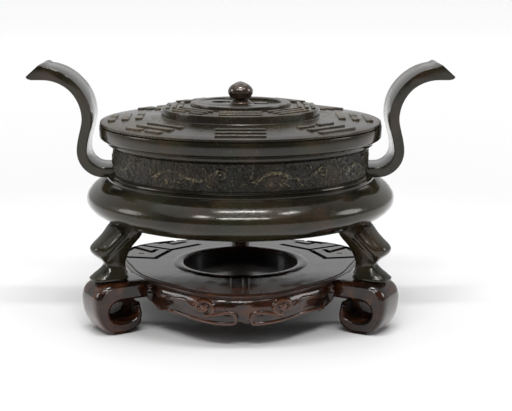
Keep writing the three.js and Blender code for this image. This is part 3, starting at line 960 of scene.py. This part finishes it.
def scrollOutline():
    top, reach = deckTop, stand["reach"]
    inner = -stand["band"]
    under = top - 9.5
    points = [(stand["root"], top - 1.2), (reach - 27, top - 0.1), (reach - 10, top - 0.03)]
    puff = [0.3, 0.6, 0.8]
    # the two pulls and the end of each curve, out from the foot's tip, its steps, and how round the sides are
    curves = [
        ((-3.5, top - 0.1), (0, top - 4.5), (0, top - 9.5), 12, 1.0),
        ((0, 10), (-2.5, 3), (-7.6, 0.7), 10, 1.0),
        ((-8.2, 0.2), (-9, 0), (-10, 0), 3, 0.5),
        ((-12, 0), (-14, 0), (-16, 0), 2, 0.5),
        ((-21, 0.4), (-24.6, 2.6), (-25.4, 6.6), 10, 0.5),
        ((-26, 10), (-24.8, 12.6), (-24.2, top - 11.5), 10, 0.3),
        ((-24, top - 10.8), (-22.4, top - 10.8), (-22.2, top - 11.5), 5, 0.2),
        ((-22.6, 13.4), (-23, 11.6), (-22, 9.6), 10, 0.25),
        ((-21, 7.6), (-17.6, 6.6), (-14, 6.6), 10, 0.4),
        ((-10.2, 6.6), (inner, 8.8), (inner, 11.8), 12, 0.5),
        ((inner, 15.4), (inner - 3, under), (inner - 7.4, under), 12, 0.5),
        ((inner - 11.4, under), (inner - 14.4, under), (inner - 21.6, under), 6, 0.5),
    ]
    for *corners, steps, share in curves:
        points += bezier(points[-1], *stepsFrom(reach, 0, *corners), steps)
        puff += [share] * steps
    points.append((stand["root"], under))
    puff.append(0.3)
    puff = np.array(puff)
    for step in range(14):
        puff = (np.roll(puff, 1) + 2 * puff + np.roll(puff, -1)) / 4
    return points, puff


# narrows the width of a foot towards its outer end, so its plan is rounded
def footHalfShare(radius):
    corner = 7.0
    past = np.clip((radius - (stand["reach"] - corner)) / corner, 0, 1)
    return 1 - 0.06 * past**2


def makeScrollFoot(name, turn):
    half = stand["footWidth"] / 2
    outline, puff = scrollOutline()
    shares = (0, 0.03, 0.08, 0.16, 0.28, 0.5, 0.72, 0.84, 0.92, 0.97, 1)
    layers = [-half + share * 2 * half for share in shares]
    points = [around(r, 0, z, layers[0]) for r, z in outline]
    piece = drawPath(name, points)
    editWhole()
    bpy.ops.mesh.edge_face_add()
    for before, after in zip(layers, layers[1:]):
        bpy.ops.mesh.extrude_region_move(TRANSFORM_OT_translate={"value": (0, (after - before) * mm, 0)})
    bpy.ops.object.mode_set(mode="OBJECT")
    # each layer of the outline shrinks towards the two sides
    line = np.array(outline)
    along = np.roll(line, -1, axis=0) - np.roll(line, 1, axis=0)
    along /= np.linalg.norm(along, axis=1)[:, None]
    spots = meshPoints(piece)
    radius = (spots[:, 0] - axisX) / mm
    side = (spots[:, 1] - axisY) / mm
    height = spots[:, 2] / mm
    nearest = np.argmin((radius[:, None] - line[:, 0]) ** 2 + (height[:, None] - line[:, 1]) ** 2, axis=1)
    shrink = 1.7 * (1 - np.sqrt(np.maximum(0, 1 - (np.abs(side) / half) ** 5))) * puff[nearest]
    radius += shrink * along[nearest, 1]
    height -= shrink * along[nearest, 0]
    height = np.maximum(height, 0)
    side *= footHalfShare(radius)
    setMeshPoints(piece, turnedPoints(radius, side, height, turn))
    tidyMesh(piece, 0.000002)
    makeActive(piece)
    bpy.ops.object.mode_set(mode="EDIT")
    bpy.ops.mesh.select_mode(type="FACE")
    bpy.ops.mesh.select_all(action="DESELECT")
    bpy.ops.object.mode_set(mode="OBJECT")
    for face in sorted(piece.data.polygons, key=lambda face: -len(face.vertices))[:2]:
        face.select = True
    bpy.ops.object.mode_set(mode="EDIT")
    for thickness, depth in ((0.25, -0.3), (0.3, 0.1), (0.35, 0.45)):
        bpy.ops.mesh.inset(thickness=thickness * mm, depth=depth * mm, use_individual=True)
    bpy.ops.mesh.select_mode(type="VERT")
    bpy.ops.object.mode_set(mode="OBJECT")
    return piece


def makeFootWeb(turn):
    reach = stand["reach"]
    middle = reach - stand["band"] / 2
    corners = [(reach - 23.6, 6.7), (reach - 23.2, 18.3), (reach - 13, 20), (middle, 16), (middle, 9.6),
               (reach - 8, 4), (reach - 14, 3.2), (reach - 20.4, 3.8)]
    points = [around(r, 0, z, -stand["webWall"] / 2) for r, z in corners]
    piece = fillAndExtrude("footWeb", points, (0, stand["webWall"] * mm, 0))
    bevelEdges(piece, 0.6, 2)
    x, y, z = ((meshPoints(piece) - np.array([axisX, axisY, 0])) / mm).T
    setMeshPoints(piece, turnedPoints(x, y, z, turn))
    return piece


# small turned bead that ends a foot's shoulder beside an apron
def makeKnuckle(turn, side):
    low, high = deckTop - 9.6, deckTop - 1.4
    profile = throughPoints([
        (0.01, low), (1.0, low + 0.2), (1.5, low + 1.1), (2.2, low + 2.6), (2.5, low + 4.2), (2.0, low + 5.7),
        (1.3, low + 6.5), (1.8, low + 7.3), (1.1, high - 0.2), (0.01, high),
    ], 3)
    piece = spinRound("knuckle", profile, 24)
    radius, step = stand["knuckle"]
    x, y, z = around(radius, turn, 0, side * step)
    setMeshPoints(piece, meshPoints(piece) + np.array([x - axisX, y - axisY, 0]))
    return piece


def strokeSlot(start, end, width):
    run = math.hypot(end[0] - start[0], end[1] - start[1])
    turn = math.degrees(math.atan2(end[1] - start[1], end[0] - start[0]))
    return boxAt((start[0] + end[0]) / 2, (start[1] + end[1]) / 2, run + width, width, 4,
                 deckTop - stand["slotDepth"], turn)


def boxAt(x, y, width, depth, height, low, turn=0.0):
    deselectAll()
    bpy.ops.mesh.primitive_cube_add(size=1, location=place(x, y, low + height / 2),
                                    rotation=(0, 0, math.radians(turn)))
    piece = bpy.context.object
    piece.scale = (width * mm, depth * mm, height * mm)
    zeroPlace(piece)
    return piece


fret = {
    # width of the stroke, then the corners of each hook
    "hooks": [
        (3.6, [(24.6, 41.2), (39, 28.5)]), (2.8, [(39, 28.5), (56.5, 39.6)]),
        (3.2, [(32.8, 47.7), (38.6, 42.6), (43, 46.6)]),
        (3.2, [(38, 52), (46.5, 45), (49, 45.8)]),
        (3.2, [(40.4, 25), (47, 7.8)]), (3.8, [(47, 7.8), (61.6, 10.5)]),
        (3.0, [(47.8, 28), (50, 23)]), (3.8, [(50, 23), (60.5, 34.5)]), (2.8, [(60.5, 34.5), (63.5, 25.5)]),
        (1.8, [(54.8, 19.6), (56, 19.8)]),
    ],
    # place, outer end and width of the ribs at the front
    "ribs": [(-4.9, -67.5, 0.9), (1.2, -69, 1.0), (4.4, -69, 1.0), (10.4, -67.5, 0.9)],
}


def cutFret(deck):
    for side in (-1, 1):
        for width, points in fret["hooks"]:
            spots = [(side * x, y) for x, y in points]
            for start, end in zip(spots, spots[1:]):
                cutWith(deck, strokeSlot(start, end, width))
    border = fillAndExtrude("border", planPoints(-1.0, deckTop - 0.6), (0, 0, 3 * mm))
    cutWith(border, fillAndExtrude("borderCore", planPoints(-2.2, deckTop - 1), (0, 0, 5 * mm)))
    cutWith(deck, border)


def makeDeck():
    deck = fillAndExtrude("standDeck", planPoints(0, deckTop - stand["board"]),
                          (0, 0, stand["board"] * mm - 0.0001))
    lipPlate = fillAndExtrude("lipPlate", planPoints(stand["lip"], deckTop - stand["lipHeight"]),
                              (0, 0, stand["lipHeight"] * mm))
    bevelEdges(lipPlate, 1.4, 4, 60)
    applyModifier(deck, "BOOLEAN", operation="UNION", object=lipPlate, solver="EXACT")
    bpy.data.objects.remove(lipPlate, do_unlink=True)
    cutWith(deck, cylinderAt(0, deckTop - stand["wellDepth"] + 10, stand["well"], 20, 128))
    cutFret(deck)
    return deck


# low ribs that run from the well to the front edge
def makeRibs():
    near = -stand["well"] - 2 * stand["bead"] + 0.4
    ribs = []
    for x, far, width in fret["ribs"]:
        rib = boxAt(x, (near + far) / 2, width, near - far, 1.6, deckTop - 1.15)
        bevelEdges(rib, 0.35, 3)
        ribs.append(rib)
    return joinPieces(ribs, "deckRibs")


def makeWellBead():
    radius, width = stand["well"], stand["bead"]
    half = width - 0.02
    profile = [(radius + 0.02, deckTop - 1.2)]
    for i in range(13):
        turn = math.pi - math.pi * i / 12
        step = (half * math.cos(turn), beadRise * math.sin(turn))
        profile += stepsFrom(radius + width, deckTop - 0.05, step)
    profile += [(radius + width + half, deckTop - 1.2), (radius + 0.02, deckTop - 1.2)]
    return spinRound("wellBead", profile, 128)


finishPiece(makeDeck(), "hardwood", woodDeck, "stand", angle=34)
finishPiece(makeWellBead(), "hardwood", wood, angle=40)
finishPiece(makeRibs(), "hardwood", woodDeck, angle=40)
for footName, footTurn in (("footBack", 90), ("footLeft", 210), ("footRight", 330)):
    foot = joinPieces([makeScrollFoot(footName, footTurn), makeFootWeb(footTurn)], footName)
    finishPiece(foot, "hardwood", wood, angle=40)
    beads = joinPieces([makeKnuckle(footTurn, side) for side in (-1, 1)], "knuckles" + footName[4:])
    finishPiece(beads, "hardwood", wood, angle=60)

# carved aprons: one grid each, bent to the plan and carved by a height pattern

apron = {
    "columns": 300,
    "rows": 60,
    "halfTurn": 50,
    "bulge": 3.2,
    "relief": 1.6,
    "eye": (19.0, 6.2),
    "shift": 1.5,
}


# the apron's lower edge: half of it, out from the middle and up from the drop
def lowEdge(x):
    curves = [
        ((2.5, 0.2), (6, -0.4), (10, -0.2)), ((14, -0.3), (20, 0.2), (26, 0.9)),
        ((29, 1.2), (33, 1.2), (36.6, 0.9)), ((38.6, 1.3), (40.2, 0.8), (41.4, -0.4)),
        ((44, 3), (48, 4.4), (52, 5.6)),
    ]
    line = [(0, 1.4)]
    for curve in curves:
        line += bezier(line[-1], *curve, 8)
    out, up = np.transpose(line + [(62, 8)])
    return deckTop - stand["drop"] + np.interp(np.abs(x), out, up)


def apronLines():
    eyeX, drop = apron["eye"]
    eyeZ = deckTop - drop
    edge = [(x, lowEdge(np.array([x]))[0] + 1.2) for x in np.linspace(4.2, 50, 44)]
    curl = [(x, eyeZ + (z - eyeZ) * 0.78) for x, z in spiral(eyeX, eyeZ, 5.6, 1.5, 262, -1)]
    throat = throughPoints([
        curl[0], *stepsFrom(0, eyeZ, (13.6, -3), (8.6, -2), (4.8, -2.2), (3.7, -4), (3.5, -6.8)),
        (4.4, edge[0][1]),
    ], 6)
    tail = throughPoints([
        *stepsFrom(eyeX, eyeZ, (5.4, -0.6), (9, 1.8), (15, 1), (20, 0.2)), (46, eyeZ + 1.6),
    ], 6)
    # each line with its half width and height
    return [
        (edge, 1.1, 1.0), (curl, 0.9, 1.0), ([(eyeX, eyeZ), (eyeX + 0.1, eyeZ)], 1.5, 1.0),
        (throat, 0.95, 1.0), (tail, 0.8, 0.55),
    ]


def makeApron(name, centre):
    deselectAll()
    bpy.ops.mesh.primitive_grid_add(x_subdivisions=apron["columns"], y_subdivisions=apron["rows"], size=2)
    piece = bpy.context.object
    piece.name = name
    applyModifier(piece, "SOLIDIFY", thickness=0.1, offset=-1)
    points = meshPoints(piece)
    front = points[:, 2] > -0.05
    turn = points[:, 0] * apron["halfTurn"]
    down = (1 - points[:, 1]) / 2
    reach = np.array([apronReach(t) for t in turn])
    x = reach * np.sin(np.radians(turn))
    side = np.abs(x - apron["shift"])
    top = deckTop - 1.0
    z = top + (lowEdge(x) - top) * down
    eyeX, drop = apron["eye"]
    eyeZ = deckTop - drop
    height = np.zeros(len(points))
    for line, half, weight in apronLines():
        height = np.maximum(height, ridge(side, z, line, half) * weight)
    pad = np.exp(-(((side - eyeX) / 7.0) ** 2 + ((z - eyeZ) / 4.6) ** 2))
    lobe = smoothStep(3.2, 5.0, side) * (1 - smoothStep(24, 34, side))
    lobe *= 1 - smoothStep(eyeZ - 4.2, eyeZ - 2.2, z)
    throat = (1 - smoothStep(2.0, 4.4, side)) * (1 - smoothStep(eyeZ - 1, eyeZ + 2.5, z))
    fade = 1 - 0.55 * smoothStep(38, 50, np.abs(turn))
    belly = np.sin(np.clip(down, 0, 1) ** 0.7 * math.pi) ** 0.85 * fade
    carving = height * 0.6 + 0.5 * pad + 0.45 * lobe - 0.8 * throat
    out = reach + apron["bulge"] * belly + apron["relief"] * carving - 0.8 * smoothStep(0.93, 1.0, down)
    out = np.where(z > deckTop - 1.8, np.minimum(out, reach + 0.2), out)
    out = np.where(front, out, reach - stand["thickness"])
    setMeshPoints(piece, turnedPoints(out, 0, z, turn + centre))
    setAttribute(piece, "relief", np.where(front, np.clip(height, 0, 1), 0))
    tidyMesh(piece, 0.000002)
    return piece


for apronName, apronCentre in (("apronFront", -90), ("apronRight", 30), ("apronLeft", 150)):
    finishPiece(makeApron(apronName, apronCentre), "hardwood", woodCarved, angle=55)

# floor, light and camera

studio = {
    "floorSize": 16.0,
    "floorNear": (0.56, 0.56, 0.56),
    "floorFar": (0.97, 0.97, 0.97),
    "floorGrey": (0.90, 0.90, 0.90),
    "worldShades": (0.08, 0.66),
    # where the floor's shade starts and ends, in metres, and where the world's does, along Y
    "floorFade": (0.4, 1.8),
    "worldFade": (-0.8, 0.5),
    "aim": (0, 0, 0.06),
    # direction, spread and strength of the broad lights
    "suns": [((-0.1, -0.2, 1.0), 75, 1.3), ((1.0, 0.05, 0.46), 22, 0.8), ((-1.0, 0.05, 0.40), 22, 0.7)],
    "camera": (0.0, -0.6885, 0.1945),
    "pitch": 11.22,
    "lens": 91.4,
    "shiftX": 15.5 / 512,
    # place, size and power of each softbox
    "softboxes": [
        ((0.02, -0.28, 1.25), (0.46, 0.08), 7.0),
        ((0.52, -0.34, 1.15), (0.20, 0.09), 1.6),
        ((-0.46, -0.62, 1.05), (0.16, 0.16), 2.0),
        ((0.04, -0.86, 1.10), (0.66, 0.06), 8.5),
        ((0.0, 0.9, 1.2), (1.2, 0.5), 3.0),
    ],
}


def addLamp(name, kind, power, spot, aim):
    light = bpy.data.lights.new(name, kind)
    light.energy = power
    lamp = bpy.data.objects.new(name, light)
    bpy.context.collection.objects.link(lamp)
    lamp.location = spot
    lamp.rotation_euler = (Vector(aim) - Vector(spot)).to_track_quat("-Z", "Y").to_euler()
    return light


def makeStudio():
    deselectAll()
    bpy.ops.mesh.primitive_plane_add(size=studio["floorSize"], location=(0, 0, 0))
    floor = bpy.context.object
    floor.name = "floor"
    material, tree, shader = startMaterial("paleFloor")
    # the lamps stand close, so the floor is a little darker under them and evens out
    length = addNode(tree, "ShaderNodeVectorMath", operation="LENGTH")
    tree.links.new(objectCoords(tree), length.inputs[0])
    away = mapRange(tree, length.outputs["Value"], *studio["floorFade"], 0.0, 1.0)
    plain = mixColour(tree, away, studio["floorNear"], studio["floorFar"])
    seen = addNode(tree, "ShaderNodeLightPath").outputs["Is Camera Ray"]
    tree.links.new(mixColour(tree, seen, studio["floorGrey"], plain), shader.inputs["Base Color"])
    shader.inputs["Roughness"].default_value = 0.6
    floor.data.materials.append(material)
    world = bpy.data.worlds.new("studio")
    bpy.context.scene.world = world
    world.use_nodes = True
    tree = world.node_tree
    background = tree.nodes["Background"]
    background.inputs["Color"].default_value = (1, 1, 1, 1)
    # the side behind the camera is dimmer, and what the camera sees is plain white
    coords = addNode(tree, "ShaderNodeTexCoord")
    parts = addNode(tree, "ShaderNodeSeparateXYZ")
    tree.links.new(coords.outputs["Generated"], parts.inputs[0])
    shade = mapRange(tree, parts.outputs["Y"], *studio["worldFade"], *studio["worldShades"])
    seen = addNode(tree, "ShaderNodeLightPath").outputs["Is Camera Ray"]
    tree.links.new(mathNode(tree, "MAXIMUM", shade, seen), background.inputs["Strength"])
    for number, (spot, spread, strength) in enumerate(studio["suns"]):
        addLamp(f"broad{number}", "SUN", strength, spot, (0, 0, 0)).angle = math.radians(spread)
    for number, (spot, size, power) in enumerate(studio["softboxes"]):
        light = addLamp(f"softbox{number}", "AREA", power, spot, studio["aim"])
        light.shape = "RECTANGLE"
        light.size, light.size_y = size


def makeCamera():
    data = bpy.data.cameras.new("camera")
    data.lens = studio["lens"]
    data.sensor_width = 36
    data.shift_x = studio["shiftX"]
    data.clip_start = 0.01
    data.clip_end = 50
    camera = bpy.data.objects.new("camera", data)
    bpy.context.collection.objects.link(camera)
    x, y, z = studio["camera"]
    camera.location = (axisX + x, axisY + y, z)
    camera.rotation_euler = (math.radians(90 - studio["pitch"]), 0, 0)
    bpy.context.scene.camera = camera


makeStudio()
makeCamera()
bpy.context.scene.view_settings.view_transform = "Standard"
print("studio made")
